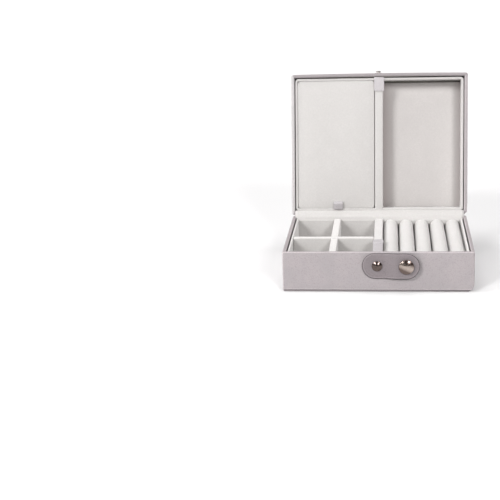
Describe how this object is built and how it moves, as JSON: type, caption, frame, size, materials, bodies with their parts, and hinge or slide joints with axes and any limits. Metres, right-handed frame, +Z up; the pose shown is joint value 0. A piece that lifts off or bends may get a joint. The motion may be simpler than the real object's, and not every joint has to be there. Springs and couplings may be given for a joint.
{
  "type": "travel jewelry case",
  "caption": "Small hinged travel jewelry case, leather outside and suede inside, with ring rolls, divided cells, a padded flap in the lid and a snap latch strap.",
  "frame": {"origin": "centre of the underside of the base", "axes": "+X to the right seen from the latch side, +Y towards the hinge, +Z up"},
  "size_m": [0.1266, 0.1453, 0.1279],
  "materials": {
    "case_leather": "lilac-grey fine-grain leatherette, satin",
    "trim_leather": "lilac-grey thin leatherette, satin",
    "latch_leather": "darker lilac-grey leatherette, satin",
    "suede_lining": "off-white short-pile suede",
    "suede_padding": "off-white short-pile suede over foam",
    "greyboard": "uncoated grey card board",
    "nickel": "polished nickel plate"
  },
  "bodies": {
    "base": {"bottom_cover": "case_leather", "base_wrap": "case_leather", "floor_board": "greyboard", "base_front_board": "greyboard", "base_back_board": "greyboard", "base_left_board": "greyboard", "base_right_board": "greyboard", "base_front_liner": "suede_lining", "base_back_liner": "suede_lining", "base_left_liner": "suede_lining", "base_right_liner": "suede_lining", "base_centre_divider": "suede_lining", "cell_floor_pad": "suede_padding", "ring_tray_pad": "suede_padding", "ring_roll_1": "suede_padding", "ring_roll_2": "suede_padding", "ring_roll_3": "suede_padding", "ring_roll_4": "suede_padding", "ring_roll_5": "suede_padding", "divider_strap": "trim_leather", "latch_rivet": "nickel", "rivet_washer": "nickel", "hinge_spine": "case_leather", "hinge_gusset": "suede_lining"},
    "lid": {"lid_wrap": "case_leather", "lid_top_board": "greyboard", "lid_front_board": "greyboard", "lid_back_board": "greyboard", "lid_left_board": "greyboard", "lid_right_board": "greyboard", "lid_front_liner": "suede_lining", "lid_back_liner": "suede_lining", "lid_left_liner": "suede_lining", "lid_right_liner": "suede_lining", "lid_centre_divider": "suede_lining", "lid_left_pad": "suede_padding", "lid_right_pad": "suede_padding", "lid_rim_tab": "trim_leather", "snap_stud": "nickel", "stud_washer": "nickel", "flap_hinge_tape": "suede_lining", "flap_ledge": "suede_lining"},
    "flap": {"flap_pad": "suede_padding", "flap_board": "greyboard", "flap_pull_tab": "trim_leather"},
    "latch": {"latch_strap": "latch_leather", "latch_backing": "latch_leather", "snap_cap": "nickel", "snap_socket": "nickel"},
    "long_divider": {"long_cell_divider": "suede_lining"},
    "cross_divider": {"cross_cell_divider": "suede_lining"}
  },
  "joints": [
    {"name": "lid_hinge", "type": "hinge", "parent": "base", "child": "lid", "pos_m": [0, 0.05095, 0.02715], "axis": [-1, 0, 0], "range_deg": [-100, 0], "deforming": ["hinge_spine", "hinge_gusset", "flap_pull_tab"]},
    {"name": "flap_hinge", "type": "hinge", "parent": "lid", "child": "flap", "pos_m": [0, 0.06913, 0.12249], "axis": [-1, 0, 0], "range_deg": [0, 90]},
    {"name": "latch_pivot", "type": "hinge", "parent": "base", "child": "latch", "pos_m": [-0.0005, -0.0525, 0.0181], "axis": [0, -1, 0], "range_deg": [0, 90]},
    {"name": "long_divider_lift", "type": "slide", "parent": "base", "child": "long_divider", "axis": [0, 0, 1], "range_m": [0, 0.022]},
    {"name": "cross_divider_lift", "type": "slide", "parent": "long_divider", "child": "cross_divider", "axis": [0, 0, 1], "range_m": [0, 0.022]}
  ]
}
